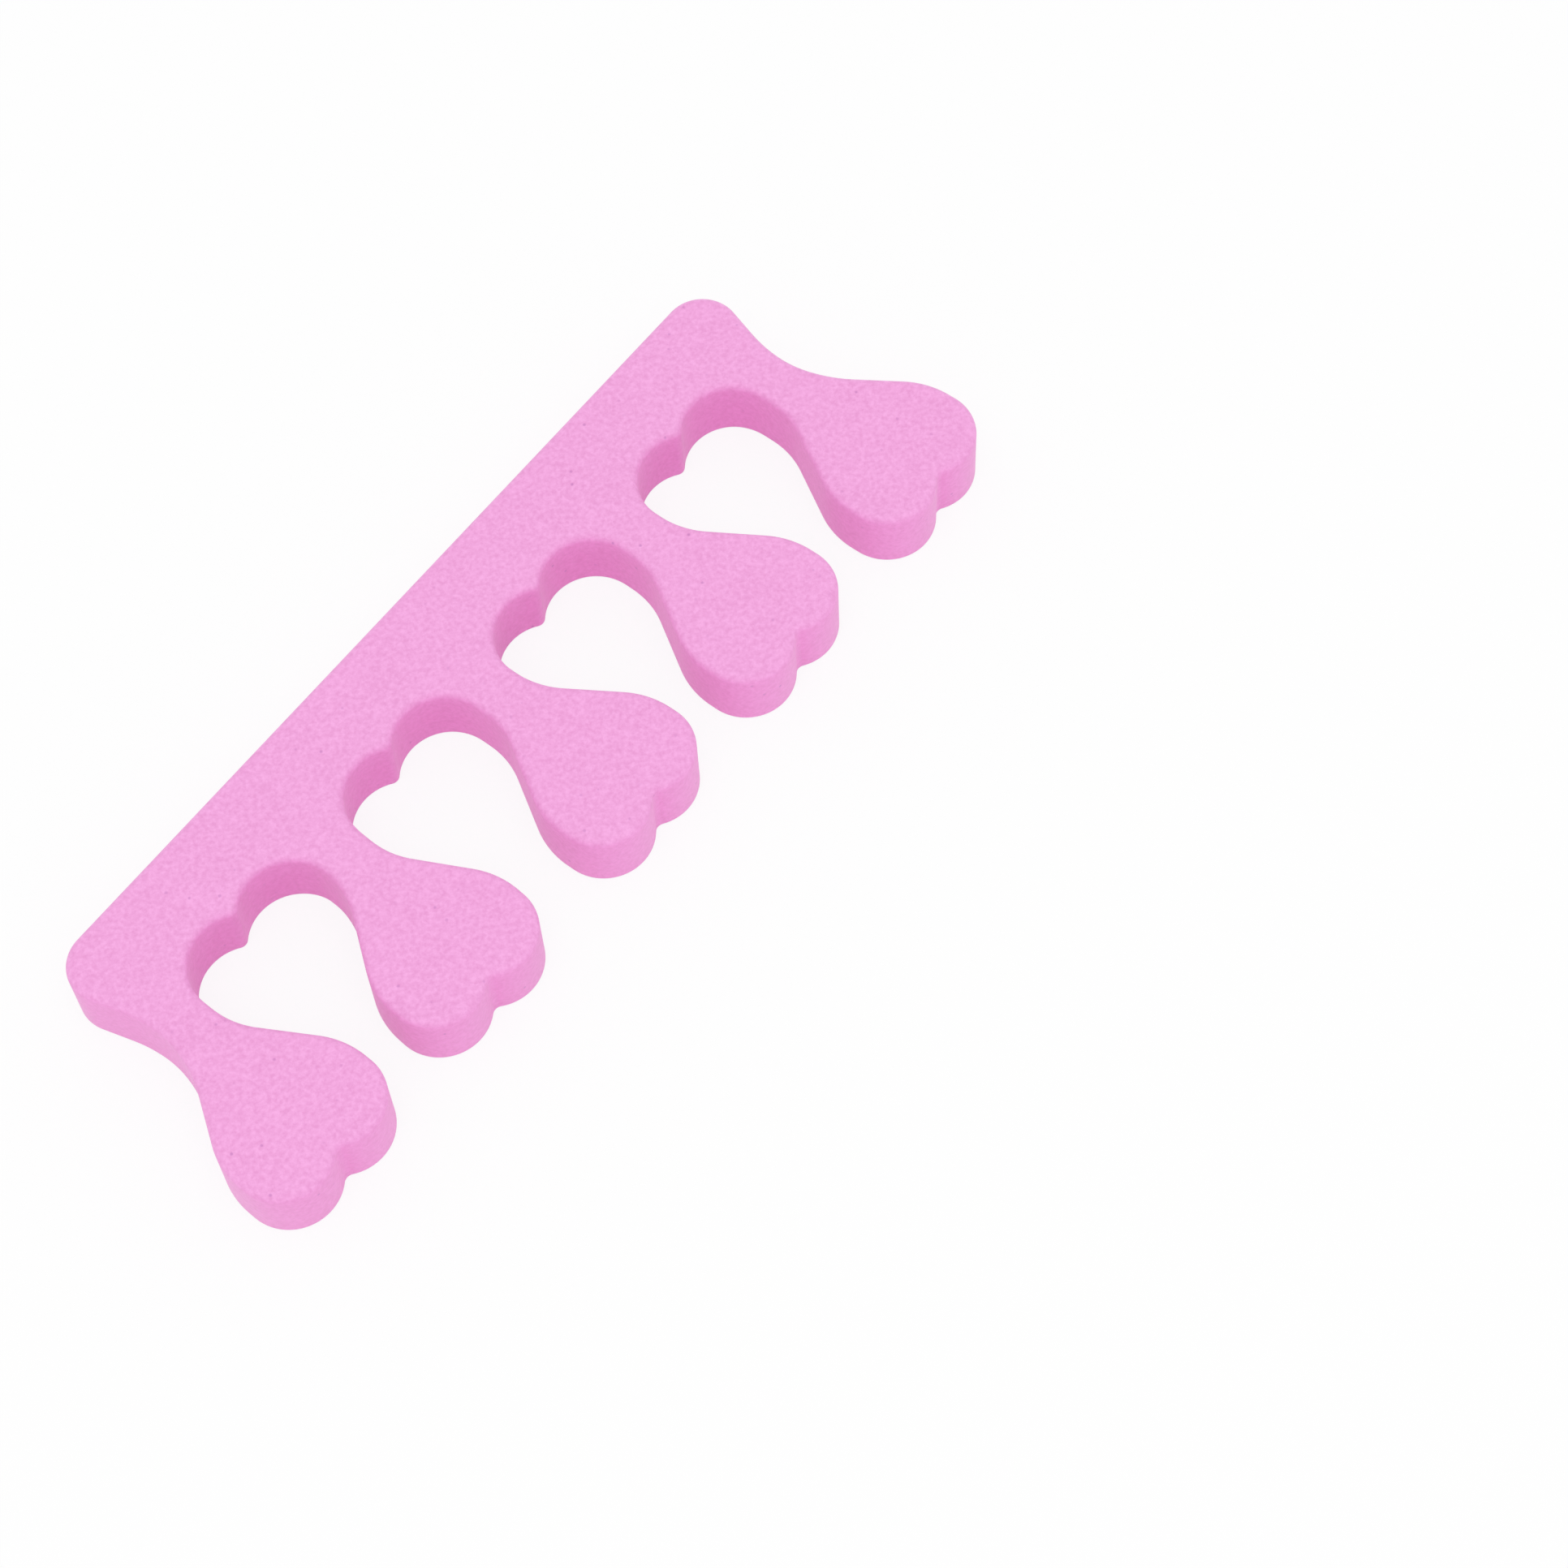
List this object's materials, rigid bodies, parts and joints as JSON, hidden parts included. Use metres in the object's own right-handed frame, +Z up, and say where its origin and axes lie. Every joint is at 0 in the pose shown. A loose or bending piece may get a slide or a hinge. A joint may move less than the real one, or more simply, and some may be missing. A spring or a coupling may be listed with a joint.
{
  "type": "toe separator",
  "caption": "Flat strip of soft pink foam whose heart-tipped fingers slip between the toes and hold them apart while nail polish dries",
  "frame": {"origin": "middle of the strip's bounding box, on the flat face that it lies on", "axes": "+X along the strip, +Y from the straight back edge to the fingertips, +Z up through the foam"},
  "size_m": [0.0964, 0.0314, 0.0069],
  "materials": {
    "eva_foam": "matte closed-cell foam"
  },
  "bodies": {
    "root": {"foam_separator": "eva_foam"}
  },
  "joints": []
}
